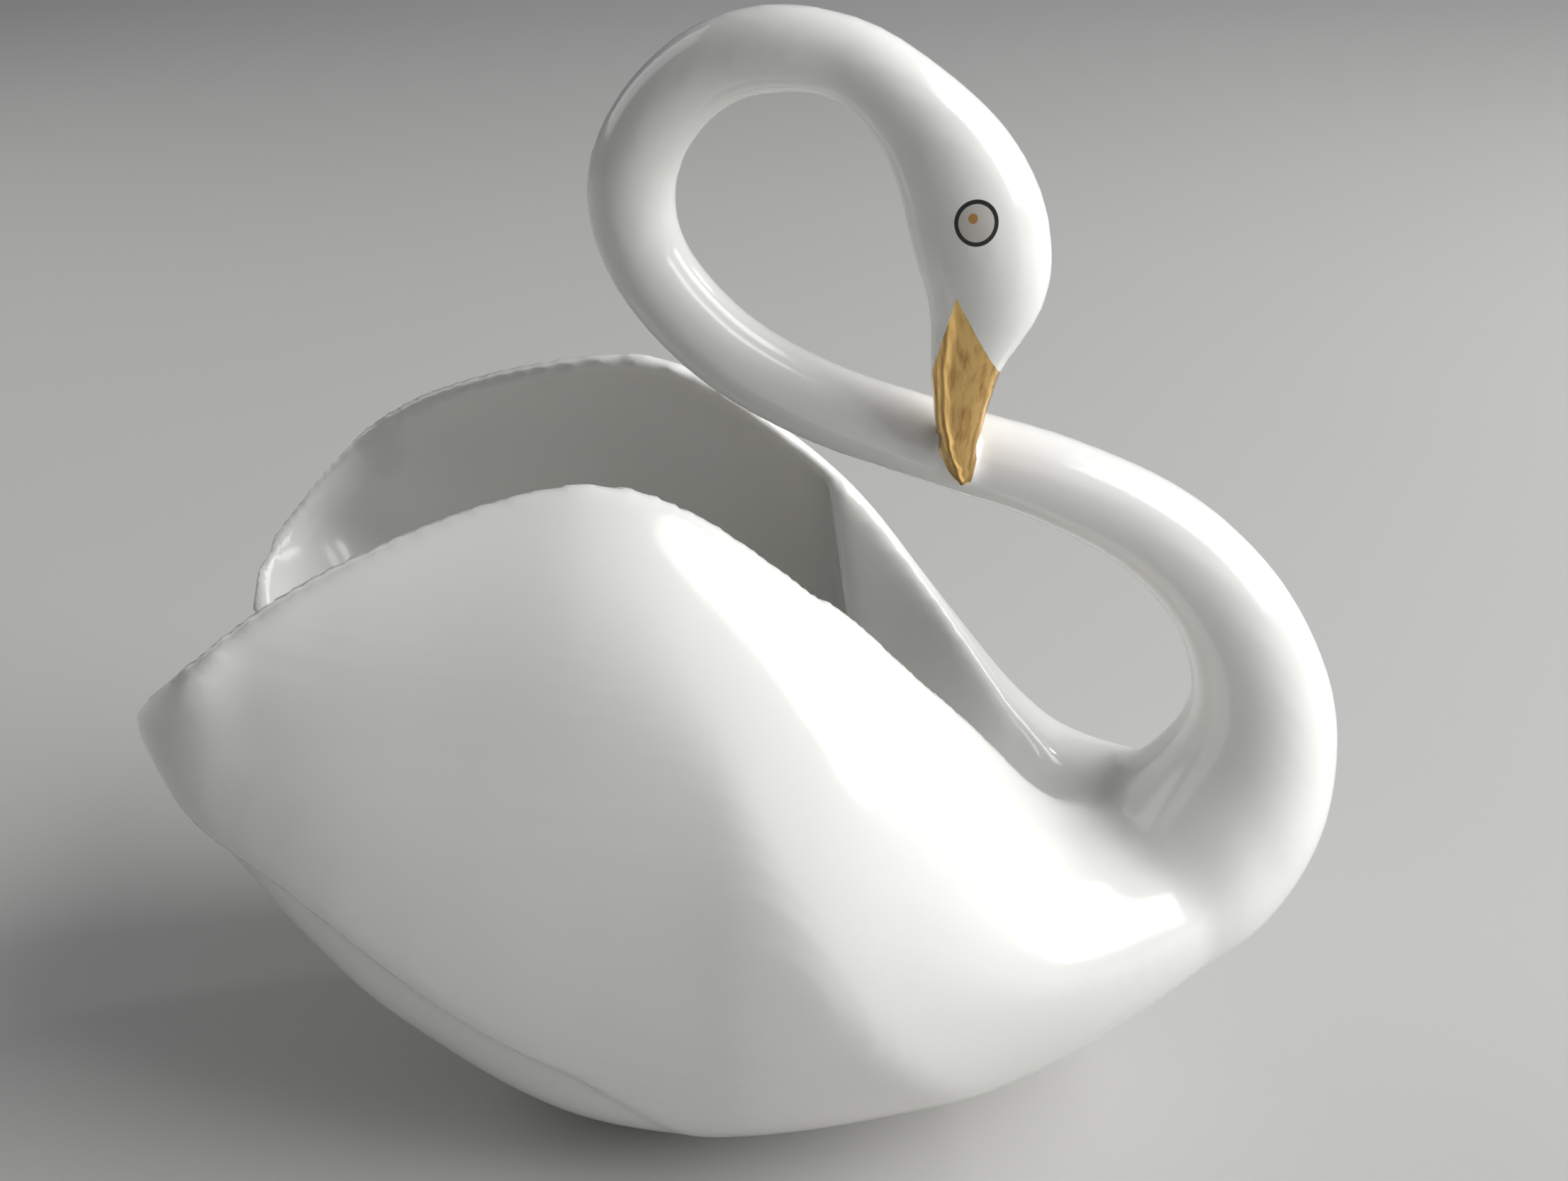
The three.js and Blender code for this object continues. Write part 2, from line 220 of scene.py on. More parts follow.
# How even the stations are along a solid, and how many points each solid has along and round
EVENNESS = 0.4
WING_COUNTS, BOWL_COUNTS, CAVITY_COUNTS = (220, 200), (140, 176), (120, 144)
VALLEY_STATIONS, VALLEY_POINTS, EDGE_POINTS, RIM_POINTS, OVAL_POINTS = 97, 49, 121, 241, 120
PATH_STEPS, TUBE_SIDES = 8, 64

keel = through([
    (-0.53, 0.448), (-0.5, 0.412), (-0.46, 0.344), (-0.42, 0.258), (-0.36, 0.166), (-0.3, 0.098),
    (-0.17, 0.02), (-0.06, 0.008), (0.04, 0.026), (0.12, 0.046), (0.2, 0.07), (0.3, 0.115),
    (0.4, 0.184), (0.46, 0.24), (0.5, 0.31),
])
waist = through([
    (-0.53, 0.47), (-0.5, 0.478), (-0.46, 0.484), (-0.42, 0.452), (-0.36, 0.395), (-0.3, 0.352),
    (-0.2, 0.31), (0, 0.275), (0.25, 0.262), (0.4, 0.275), (0.5, 0.31),
])
rim_height = through([
    (-0.528, 0.44), (-0.503, 0.466), (-0.42, 0.553), (-0.35, 0.605), (-0.26, 0.647), (-0.17, 0.674),
    (-0.11, 0.68), (-0.05, 0.661), (0.024, 0.611), (0.088, 0.556), (0.136, 0.5), (0.175, 0.453),
    (0.21, 0.408), (0.235, 0.378), (0.27, 0.347), (0.31, 0.335), (0.36, 0.335), (0.42, 0.34),
    (0.47, 0.334), (0.5, 0.31),
])
rim_spread = through([
    (-0.528, 0.3), (-0.503, 0.5), (-0.42, 0.83), (-0.36, 0.77), (-0.3, 0.69), (-0.2, 0.575),
    (-0.1, 0.5), (-0.03, 0.465), (0.05, 0.445), (0.088, 0.4), (0.136, 0.335), (0.175, 0.265),
    (0.21, 0.215), (0.235, 0.2), (0.27, 0.15), (0.31, 0.09), (0.36, 0.03), (0.4, 0),
])
tail_width = through([
    (-0.528, 0.33), (-0.503, 0.53), (-0.48, 0.66), (-0.46, 0.755), (-0.44, 0.82), (-0.42, 0.862),
    (-0.39, 0.9), (-0.36, 0.93), (-0.3, 0.968), (-0.2, 0.994), (-0.1, 1), (0, 1),
])
wing_edge = through([
    (-0.54, 0.485), (-0.505, 0.454), (-0.487, 0.441), (-0.43, 0.41), (-0.357, 0.37), (-0.297, 0.322),
    (-0.235, 0.266), (-0.172, 0.222), (-0.12, 0.19), (-0.06, 0.12), (0, 0), (0.03, -0.08),
])
valley_floor = through([
    (-0.02, 0.2), (0.08, 0.26), (0.13, 0.3), (0.175, 0.325), (0.21, 0.334), (0.238, 0.337),
    (0.27, 0.335), (0.36, 0.332),
])
# Where the soft ridge runs down each wing: its x at a height, and where it rises from the belly
RIDGE_ENDS, RIDGE_TOP, RIDGE_BACK = (0.03, 0.2), (0.5, 1.0), (-0.5, -0.36)
ridge_line = through([
    (0.02, 0.35), (0.08, 0.265), (0.14, 0.205), (0.2, 0.16), (0.3, 0.095), (0.42, 0.035),
    (0.55, -0.025), (0.68, -0.09),
])

# Neck, head and beak: x, z and radius as shares of length, height and the neck's radius
NECK = (
    (0.35, 0.235, 2.2), (0.393, 0.285, 2.5), (0.42, 0.343, 2.42), (0.432, 0.403, 2.02),
    (0.427, 0.454, 1.7), (0.393, 0.528, 1.39), (0.33, 0.591, 1.21), (0.243, 0.635, 1.08),
    (0.152, 0.663, 1.01), (0.042, 0.7, 0.98), (-0.033, 0.745, 0.97), (-0.087, 0.811, 0.98),
    (-0.097, 0.867, 1.02), (-0.077, 0.918, 0.96), (-0.034, 0.96, 0.92), (0.013, 0.976, 0.92),
    (0.07, 0.971, 0.88), (0.116, 0.94, 1.04), (0.148, 0.901, 1.34), (0.166, 0.861, 1.51),
    (0.175, 0.822, 1.45), (0.174, 0.8, 1.3), (0.17, 0.779, 1.08), (0.165, 0.757, 0.87),
    (0.162, 0.727, 0.7), (0.161, 0.69, 0.5), (0.166, 0.645, 0.12),
)
# Places along that path, counted in its points, and where the neck's and the head's tubes end
ROOT_END, LOOP_START, CROWN, CHEEK, BILL, TIP = 3, 11, 16, 19, 22, len(NECK) - 1
BROW = CROWN + 2
HEAD_START, NECK_END = 14.5, 17.5
# How slim the head is and how broad the neck's root is, against a round section
HEAD_FLAT = 0.8
ROOT_BROAD = 1.25
# Where the neck's root is filleted into the chest
NECK_ROOT = (0.43, 0.36)
ROOT_REACH = (0.04, 0.2)
CHEST_FRONT = (0.4, 0.49)
NECK_JOIN = 0.4 * MM
# The stretch of the beak, and where it is drawn sharp: below its top and clear of the neck, in mm
BILL_TOP, BILL_END, BILL_BACK = 0.8, 0.6, 0.1
BILL_FADE, BILL_FREE = (0.75, 0.8), (0.0, 0.7)

# Paint on the head, in millimetres from the origin, seen from the side
EYE = (19.4, 102.2)
EYE_DOT = (19.1, 102.6)
HEAD_SLANT = 0.93
GILT_TOP = (18.0, 95.3)
GILT_FRONT = (22.1, 87.7)
GILT_BACK = (16.5, 88.7)
BODY_TOP = 70
# How sharp the paint's edges are, how uneven the brush leaves the gilding's edge, how far the
# beak's side is told apart from the neck's and over what width it ends, all in millimetres
PAINT_EDGE, BRUSH_EDGE, BEAK_LEAD, BEAK_EDGE = 0.05, 0.12, 5, 0.08
# Cells of the patterns in millimetres: brush marks at the gilding's edge, streaks of painted dark
# reflection on the gold with their width as a share of their length, waves in the glaze, clouds in
# the floor's paint
BRUSH_MARK, STREAK_WIDTH, STREAK_SHARE = 1.11, 0.526, 0.06
GLAZE_WAVE, FLOOR_CLOUD = 12.5, 167
# Where the gold shows painted dark reflection, how strongly painted shade darkens the creases, and
# how rough glaze, gold and paint are
DARK_REFLECTION_FROM, DARK_REFLECTION_GAIN = 0.45, 2.4
CREASE_SHADE_ROUNDS, CREASE_SHADE_GAIN, CREASE_SHADE_TINT = 12, 8, 1.4
GLAZE_ROUGH, GOLD_ROUGHER, PAINT_ROUGHER = 0.14, 0.02, 0.12
FLOOR_ROUGH, CLOUD_SHADE = 0.55, 0.95

# The studio, in metres: the floor's half side, and each light's place and side
FLOOR_HALF = 1.5
LIGHTS = (
    ("key_light", "key", (0.9, -0.08, 0.66), 0.9),
    ("fill_light", "fill", (-0.5, 0.2, 0.35), 0.4),
    ("lamp", "lamp", (0.44, 0.33, 0.32), 0.035),
)
LIT_PLACE = (0, 0, 0.05)
# How far towards the dim and the bright side the room's light changes, as a direction's x
DIM_FROM, BRIGHT_FROM = -0.6, 0.8
SENSOR_WIDTH = 36
NEAREST = 1 * MM


def half_width(x):
    """Half the body's width in the plan, as a share."""
    if x > 0:
        inner, outer = CHEST_POWERS
        return (1 - (x / FRONT) ** inner) ** outer
    end = max(1 - (x - BACK) / TIP_ROUND, 0)
    return tail_width(x) * math.sqrt(max(1 - end * end, 0))


def section(x, s):
    """Half width, height of the widest place, and the reach above and below it, at one place."""
    rim_y = rim_spread(x) * s.width / 2
    w = max(half_width(x) * s.width / 2, LEAST)
    middle = waist(x) * s.height
    lean = min(rim_y / w, CREST_LEAN)
    high = (rim_height(x) * s.height - middle) / math.sqrt(1 - lean * lean)
    return w, middle, max(high, LEAST), max(middle - keel(x) * s.height, LEAST)


def stations(start, end, count):
    """Places between two ends, closer together near both."""
    u = np.linspace(0, 1, count + 1)
    crowded = (1 - np.cos(math.pi * u)) / 2
    return start + (end - start) * (EVENNESS * u + (1 - EVENNESS) * crowded)


def placed(name, data):
    """A new object in the scene."""
    made = bpy.data.objects.new(name, data)
    bpy.context.scene.collection.objects.link(made)
    return made


def mesh_object(name, points, faces):
    """A mesh of its own, made of points and faces."""
    mesh = bpy.data.meshes.new(name)
    mesh.from_pydata([tuple(p) for p in points], [], faces)
    mesh.validate()
    return placed(name, mesh)


def points_of(mesh):
    """The places of a mesh's points."""
    co = np.zeros(len(mesh.vertices) * 3)
    mesh.vertices.foreach_get("co", co)
    return co.reshape(-1, 3)


def outward(piece):
    """Turns a closed mesh right side out."""
    mesh = piece.data
    mesh.calc_loop_triangles()
    co = points_of(mesh)
    a, b, c = (co[[t.vertices[k] for t in mesh.loop_triangles]] for k in range(3))
    if np.einsum("ij,ij->i", a, np.cross(b, c)).sum() < 0:
        mesh.flip_normals()
    return piece


def skin(name, rings):
    """A closed skin over rings of points, with a fan at each end."""
    rings = np.array(rings)
    count, sides = rings.shape[:2]
    points = np.concatenate([rings.reshape(-1, 3), rings[[0, -1]].mean(1)])
    start = count * sides
    faces = []
    for j in range(sides):
        k = (j + 1) % sides
        faces.append((start, k, j))
        faces.append((start + 1, start - sides + j, start - sides + k))
        for a in range(0, start - sides, sides):
            faces.append((a + j, a + k, a + sides + k, a + sides + j))
    return outward(mesh_object(name, points, faces))


def prism(name, outline, depth, axis):
    """A prism over an outline, along Y ("side") or Z ("plan")."""
    low, high = depth
    if axis == "side":
        ends = [[(x, d, z) for x, z in outline] for d in (low, high)]
    else:
        ends = [[(x, y, d) for x, y in outline] for d in (low, high)]
    n = len(outline)
    faces = [(j, (j + 1) % n, n + (j + 1) % n, n + j) for j in range(n)]
    faces += [tuple(range(n - 1, -1, -1)), tuple(range(n, 2 * n))]
    return outward(mesh_object(name, ends[0] + ends[1], faces))


def egg(name, s, ends, inset, rounding, counts, roof=None):
    """An egg-shaped solid between two places, lying inside the outer surface by an inset."""
    start, end = ends
    angle = np.linspace(0, 2 * math.pi, counts[1], endpoint=False)
    up, out = np.sin(angle), np.cos(angle)
    rings = []
    for x in stations(start, end, counts[0]):
        back = max(1 - (x - start) / rounding[0], 0) if rounding[0] else 0
        front = max(1 - (end - x) / rounding[1], 0) if rounding[1] else 0
        full = math.sqrt(max(1 - back * back - front * front, SPECK))
        w, middle, high, low = section(x, s)
        high = high - inset(x, 1, 0)
        if roof:
            high = min(high, roof(x) * s.height - middle)
        reach = np.where(up > 0, max(high, LEAST), max(low - inset(x, -1, 0), LEAST))
        z = middle + reach * up * full
        side = np.maximum(w - inset(x, 0, z / s.height), LEAST)
        off = np.hypot((x - ridge_line(z / s.height)) * s.length, s.ridge_round) - s.ridge_round
        fall = s.ridge * (1 - np.exp(-off / s.ridge_reach)) * smooth(*RIDGE_ENDS, z / s.height)
        crest = max(rim_height(x) * s.height - middle, MM)
        fall = fall * smooth(*RIDGE_BACK, x) * (1 - smooth(*RIDGE_TOP, (z - middle) / crest))
        y = out * np.maximum(side - fall, LEAST) * full
        rings.append(np.stack([np.full_like(z, x * s.length), y, z], 1))
    return skin(name, rings)


def step(x, s):
    """How far the bowl lies inside the wing: it fades out towards the tip and the belly."""
    return s.wing_step * smooth(*STEP_STARTS, x) * (1 - smooth(*STEP_ENDS, x))


def bowl_inset(x, side, s):
    """The bowl's inset below (-1), above (1) or beside (0)."""
    return BOWL_GAP + (UNDER_SHARE if side < 0 else 1) * step(x, s)


def valley(s):
    """The valley between the fronts of the wings, which runs out on the back before the neck."""
    across = np.linspace(-1, 1, VALLEY_POINTS)
    rings = []
    for x in np.linspace(VALLEY_BACK, OPENING_FRONT, VALLEY_STATIONS):
        top = rim_height(x) * s.height
        edge = s.crest_flat + VALLEY_EDGE * s.wall * (1 - smooth(VALLEY_BACK, VALLEY_OPEN, x))
        half = max(rim_spread(x) * s.width / 2 - edge, VALLEY_LEAST)
        deep = max(top - valley_floor(x) * s.height, VALLEY_SHALLOW)
        above = top + 2 * s.wall
        ring = [(x * s.length, a * half, top - deep * (1 - a * a)) for a in across]
        ring += [(x * s.length, half, above), (x * s.length, -half, above)]
        rings.append(ring)
    return skin("valley", rings)


def cavity(s):
    """The hollow of the bowl, which reaches forward under the swan's back."""
    def steepness(curve, x):
        """How steeply a curve of shares runs at one place."""
        return (curve(x + SPAN) - curve(x - SPAN)) / (2 * SPAN)

    def inset(x, side, z):
        """The wall's thickness straight down (-1), up (1) or out (0)."""
        if side < 0:
            slope = steepness(keel, x) * s.height / s.length
            return s.wall * math.hypot(1, slope) + bowl_inset(x, side, s)
        if side > 0:
            return s.wall
        slope = steepness(half_width, x) * s.width / 2 / s.length
        wall = s.wall * min(math.hypot(1, slope), STEEPEST)
        edge = wing_edge(x)
        return wall + bowl_inset(x, 0, s) * (1 - smooth(edge, edge + EDGE_FADE, z))

    def roof(x):
        """The highest place of the hollow, which lies a wall below the valley."""
        below_valley = 1 - valley_floor(x) + s.wall / s.height
        return 1 - below_valley * smooth(VALLEY_BACK, VALLEY_OPEN, x)

    ends = (BACK + s.wall / s.length, CAVITY_FRONT)
    return egg("cavity", s, ends, inset, (0, CAVITY_ROUND), CAVITY_COUNTS, roof)


def neck_path(s):
    """Points of the neck's middle line with radius, sideways place and breadth, root to beak."""
    tip_side = s.neck_radius * (1 + HEAD_FLAT * NECK[TIP - 1][2]) - s.beak_rest
    keys = np.array(NECK) * (s.length, s.height, s.neck_radius)
    padded = np.concatenate([2 * keys[:1] - keys[1:2], keys, 2 * keys[-1:] - keys[-2:-1]])
    line = []
    for i in range(TIP):
        # A centripetal spline, which passes through every point and makes no small loops
        p = padded[i:i + 4]
        gaps = np.linalg.norm(np.diff(p, axis=0), axis=1) ** 0.5
        t = np.concatenate([[0], np.cumsum(gaps)])
        for u in np.linspace(t[1], t[2], PATH_STEPS, endpoint=i == TIP - 1):
            a = [((t[k + 1] - u) * p[k] + (u - t[k]) * p[k + 1]) / (t[k + 1] - t[k]) for k in range(3)]
            b = [((t[k + 2] - u) * a[k] + (u - t[k]) * a[k + 1]) / (t[k + 2] - t[k]) for k in range(2)]
            x, z, radius = ((t[2] - u) * b[0] + (u - t[1]) * b[1]) / (t[2] - t[1])
            place = i + (u - t[1]) / (t[2] - t[1])
            flat = 1 - (1 - HEAD_FLAT) * smooth(CROWN, CHEEK, place)
            broad = flat + (ROOT_BROAD - 1) * (1 - smooth(0, ROOT_END, place))
            to_head = smooth(LOOP_START, BROW, place)
            aside = s.head_lean * smooth(BILL, TIP, place) - (tip_side + s.head_lean) * to_head
            line.append((x, aside, z, radius, broad, place))
    return np.array(line)


# Node helpers


def add_node(tree, kind, links=(), inputs=(), **settings):
    """Adds a node with its settings, its input values and its links."""
    node = tree.nodes.new(kind)
    for key, value in settings.items():
        setattr(node, key, value)
    for key, value in dict(inputs).items():
        node.inputs[key].default_value = value
    for key, source in dict(links).items():
        tree.links.new(source, node.inputs[key])
    return node


def new_tree(name, sockets):
    """A geometry node tree with named inputs and a material, and its group input."""
    tree = bpy.data.node_groups.new(name, "GeometryNodeTree")
    tree.interface.new_socket("Geometry", in_out="INPUT", socket_type="NodeSocketGeometry")
    for label, kind in (*sockets, ("Material", "NodeSocketMaterial")):
        tree.interface.new_socket(label, in_out="INPUT", socket_type=kind)
    tree.interface.new_socket("Geometry", in_out="OUTPUT", socket_type="NodeSocketGeometry")
    return tree, tree.nodes.new("NodeGroupInput")


def end_tree(tree, given, geometry):
    """Ends a tree in real geometry that has the material."""
    real = add_node(tree, "GeometryNodeRealizeInstances", links={"Geometry": geometry})
    coated = add_node(tree, "GeometryNodeSetMaterial", links={
        "Geometry": real.outputs["Geometry"], "Material": given.outputs["Material"],
    })
    result = tree.nodes.new("NodeGroupOutput")
    tree.links.new(coated.outputs["Geometry"], result.inputs["Geometry"])
    return tree


def use_tree(piece, tree, values):
    """Puts a tree on a piece as a modifier, with its named inputs set."""
    modifier = piece.modifiers.new(tree.name, "NODES")
    modifier.node_group = tree
    for item in tree.interface.items_tree:
        if item.in_out == "INPUT" and item.name in values:
            modifier[item.identifier] = values[item.name]
    return modifier


def finished(piece, name):
    """A plain mesh object of what the modifiers make, in place of the piece they were on."""
    graph = bpy.context.evaluated_depsgraph_get()
    mesh = bpy.data.meshes.new_from_object(piece.evaluated_get(graph))
    bpy.data.objects.remove(piece)
    mesh.name = name
    return placed(name, mesh)


def tube_tree():
    """Sweeps an oval section along a path: round where its breadth is 1, slimmer on the head."""
    tree, given = new_tree("Swept tube", [("Sides", "NodeSocketInt")])

    def stored(name):
        """A number that the path's points carry."""
        node = add_node(
            tree, "GeometryNodeInputNamedAttribute", inputs={"Name": name}, data_type="FLOAT"
        )
        return node.outputs["Attribute"]

    path = add_node(tree, "GeometryNodeMeshToCurve", links={"Mesh": given.outputs["Geometry"]})
    section_line = add_node(
        tree, "GeometryNodeCurvePrimitiveCircle",
        links={"Resolution": given.outputs["Sides"]}, inputs={"Radius": 1.0}, mode="RADIUS",
    )
    swept = add_node(tree, "GeometryNodeCurveToMesh", links={
        "Curve": path.outputs["Curve"],
        "Profile Curve": section_line.outputs["Curve"],
        "Scale": stored("thickness"),
    }, inputs={"Fill Caps": True})
    place = add_node(tree, "GeometryNodeInputPosition")
    split = add_node(tree, "ShaderNodeSeparateXYZ", links={"Vector": place.outputs[0]})
    across = add_node(tree, "ShaderNodeMath", links={
        0: split.outputs["Y"], 1: stored("breadth"), 2: stored("aside"),
    }, operation="MULTIPLY_ADD")
    moved = add_node(tree, "ShaderNodeCombineXYZ", links={
        "X": split.outputs["X"], "Y": across.outputs[0], "Z": split.outputs["Z"],
    })
    shaped = add_node(tree, "GeometryNodeSetPosition", links={
        "Geometry": swept.outputs["Mesh"], "Position": moved.outputs["Vector"],
    })
    welded = add_node(
        tree, "GeometryNodeMergeByDistance",
        links={"Geometry": shaped.outputs["Geometry"]}, inputs={"Distance": WELD},
    )
    return end_tree(tree, given, welded.outputs["Geometry"])


def swept(name, line, material):
    """A stretch of the neck or the head as a tube along its path."""
    mesh = bpy.data.meshes.new(name)
    points = [(x, 0, z) for x, z in line[:, (0, 2)]]
    mesh.from_pydata(points, [(i, i + 1) for i in range(len(points) - 1)], [])
    for label, column in (("thickness", 3), ("aside", 1), ("breadth", 4)):
        store = mesh.attributes.new(label, "FLOAT", "POINT")
        store.data.foreach_set("value", line[:, column])
    path = placed(name, mesh)
    use_tree(path, tube_tree(), {"Sides": TUBE_SIDES, "Material": material})
    return finished(path, name)


def shell_tree():
    """Joins and cuts the solids that make the outside of the body and wings."""
    parts = ("Wings", "Wing region", "Bowl", "Foot", "Opening", "Notch", "Below foot")
    tree, given = new_tree("Swan shell", [(p, "NodeSocketObject") for p in parts])
    solid = {}
    for part in parts:
        info = add_node(tree, "GeometryNodeObjectInfo", links={"Object": given.outputs[part]})
        solid[part] = info.outputs["Geometry"]

    def boolean(operation, first, *others):
        node = add_node(tree, "GeometryNodeMeshBoolean", operation=operation, solver="MANIFOLD")
        if operation == "DIFFERENCE":
            tree.links.new(first, node.inputs["Mesh 1"])
        else:
            others = (first, *others)
        for other in others:
            tree.links.new(other, node.inputs["Mesh 2"])
        return node.outputs["Mesh"]

    wings = boolean("INTERSECT", solid["Wings"], solid["Wing region"])
    outside = boolean("UNION", wings, solid["Bowl"], solid["Foot"])
    for part in ("Opening", "Notch", "Below foot"):
        outside = boolean("DIFFERENCE", outside, solid[part])
    return end_tree(tree, given, outside)


# The casting: solids as fields of distance on one fine grid, so that they blend like slip


def casting_grid(s):
    """The lowest corner and the shape of the grid that holds the whole swan, in grains."""
    low = np.array(GRID_LOW) * (s.length, s.width, s.height)
    high = np.array(GRID_HIGH) * (s.length, s.width, s.height)
    first = np.floor(low / s.grain).astype(int)
    return first, np.ceil(high / s.grain).astype(int) - first


def distances(piece, s):
    """How far each place of the grid lies outside a solid, and less than 0 inside it."""
    mesh = piece.data
    mesh.calc_loop_triangles()
    corners = np.zeros(len(mesh.loop_triangles) * 3, np.int32)
    mesh.loop_triangles.foreach_get("vertices", corners)
    volume = openvdb.FloatGrid.createLevelSetFromPolygons(
        points_of(mesh).astype(np.float32), triangles=corners.reshape(-1, 3).astype(np.uint32),
        transform=openvdb.createLinearTransform(voxelSize=s.grain), halfWidth=BAND,
    )
    first, shape = casting_grid(s)
    field = np.zeros(shape, np.float32)
    volume.copyToArray(field, ijk=tuple(int(v) for v in first))
    return field


def blended(a, b, reach):
    """Two solids joined with a fillet of the given reach."""
    share = np.clip(0.5 + 0.5 * (b - a) / reach, 0, 1)
    return b + (a - b) * share - reach * share * (1 - share)


def softened(field, reach):
    """A field blurred along each axis, which rounds the edges of its solid."""
    away = np.arange(-BLUR, BLUR + 1)
    weights = np.exp(-0.5 * (away / reach) ** 2)
    weights /= weights.sum()
    for axis in range(3):
        margins = [(BLUR, BLUR) if k == axis else (0, 0) for k in range(3)]
        padded = np.pad(field, margins, mode="edge")
        places = np.arange(field.shape[axis]) + BLUR
        field = sum(w * np.take(padded, places + a, axis) for w, a in zip(weights, away))
    return field


def sharpened_bill(points, neck, head, s):
    """Draws the points of the beak back onto its true surface, except where it joins the neck."""
    trees = []
    for piece in (head, neck):
        piece.data.calc_loop_triangles()
        corners = [tuple(f.vertices) for f in piece.data.loop_triangles]
        trees.append(BVHTree.FromPolygons([v.co for v in piece.data.vertices], corners))
    low, high = BILL_END * s.height, BILL_TOP * s.height
    chosen = (points[:, 2] > low) & (points[:, 2] < high) & (points[:, 0] > BILL_BACK * s.length)
    for i in np.flatnonzero(chosen):
        on_head, _, _, off_head = trees[0].find_nearest(points[i])
        off_neck = trees[1].find_nearest(points[i])[3]
        if off_head < s.grain:
            below_brow = 1 - smooth(*BILL_FADE, points[i, 2] / s.height)
            share = smooth(*BILL_FREE, off_neck / MM) * below_brow
            points[i] += (np.array(on_head) - points[i]) * share
    return points


def cast_swan(solids, s):
    """The whole swan as one even skin, from the fields of its solids."""
    first, shape = casting_grid(s)
    x, y, z = np.ix_(*((first[k] + np.arange(shape[k])) * s.grain for k in range(3)))
    away = np.sqrt((x - NECK_ROOT[0] * s.length) ** 2 + y**2 + (z - NECK_ROOT[1] * s.height) ** 2)
    near_root = 1 - smooth(*ROOT_REACH, away / s.height)
    behind_chest = 1 - smooth(*CHEST_FRONT, x / s.length)
    behind = 1 - smooth(*VALLEY_JOIN, x / s.length)
    bill = (z < BILL_TOP * s.height) & (z > BILL_END * s.height) & (x > BILL_BACK * s.length)
    tail = 1 - smooth(*TAIL_ENDS, x / s.length)
    shell, valley_cut, neck, head, hollow = (distances(solid, s) for solid in solids)

    # The hollow is drawn up a little at the tips, so that no lid is left over it
    lifted = np.concatenate([hollow[:, :, :TIP_LIFT], hollow[:, :, :-TIP_LIFT]], axis=2)
    hollow = hollow + (np.minimum(hollow, lifted) - hollow) * tail
    inside = blended(valley_cut, hollow, LEAST + s.valley_blend * behind)
    shell = -blended(-shell, inside, s.rim_round)
    neck = blended(neck, head, np.where(bill, s.beak_fillet, LEAST))
    field = blended(neck, shell, NECK_JOIN + s.fillet * near_root * behind_chest)
    field = np.maximum(field, -hollow)
    field = np.maximum(field, s.foot_sink - z)
    fine, soft, broad = (
        softened(field, reach / s.grain)
        for reach in (s.bill_softness, s.softness, s.tip_softness)
    )
    field = np.where(bill, fine, soft + (broad - soft) * tail)

    volume = openvdb.FloatGrid(BAND * s.grain)
    volume.transform = openvdb.createLinearTransform(voxelSize=s.grain)
    corner = tuple(int(v) for v in first)
    volume.copyFromArray(np.ascontiguousarray(field, np.float32), ijk=corner)
    points, faces = volume.convertToQuads(isovalue=0.0)
    _, _, neck_tube, head_tube, _ = solids
    points = sharpened_bill(np.array(points), neck_tube, head_tube, s)
    return outward(mesh_object("swan_cast", points, [tuple(f) for f in faces.tolist()]))


def glaze_tree():
    """Evens out the skin and glazes it."""
    tree, given = new_tree("Flowed glaze", [("Polish", "NodeSocketInt")])

    def moved_to_mean(geometry, share):
        """Moves each point part of the way to the mean of its neighbours."""
        place = add_node(tree, "GeometryNodeInputPosition")
        mean = add_node(
            tree, "GeometryNodeBlurAttribute",
            links={"Value": place.outputs[0]}, data_type="FLOAT_VECTOR",
        )
        # A Mix node's vectors are its inputs 4 and 5 and its output 1
        mixed = add_node(tree, "ShaderNodeMix", data_type="VECTOR", clamp_factor=False)
        mixed.inputs[0].default_value = share
        tree.links.new(place.outputs[0], mixed.inputs[4])
        tree.links.new(mean.outputs[0], mixed.inputs[5])
        shifted = add_node(tree, "GeometryNodeSetPosition", links={
            "Geometry": geometry, "Position": mixed.outputs[1],
        })
        return shifted.outputs["Geometry"]

    start = add_node(tree, "GeometryNodeRepeatInput")
    end = add_node(tree, "GeometryNodeRepeatOutput")
    start.pair_with_output(end)
    tree.links.new(given.outputs["Polish"], start.inputs["Iterations"])
    tree.links.new(given.outputs["Geometry"], start.inputs["Geometry"])
    shrunk = moved_to_mean(start.outputs["Geometry"], SHRINK)
    tree.links.new(moved_to_mean(shrunk, -SWELL), end.inputs["Geometry"])
    evened = end.outputs["Geometry"]
    flowing = add_node(tree, "GeometryNodeSetShadeSmooth", links={"Geometry": evened})
    return end_tree(tree, given, flowing.outputs["Geometry"])


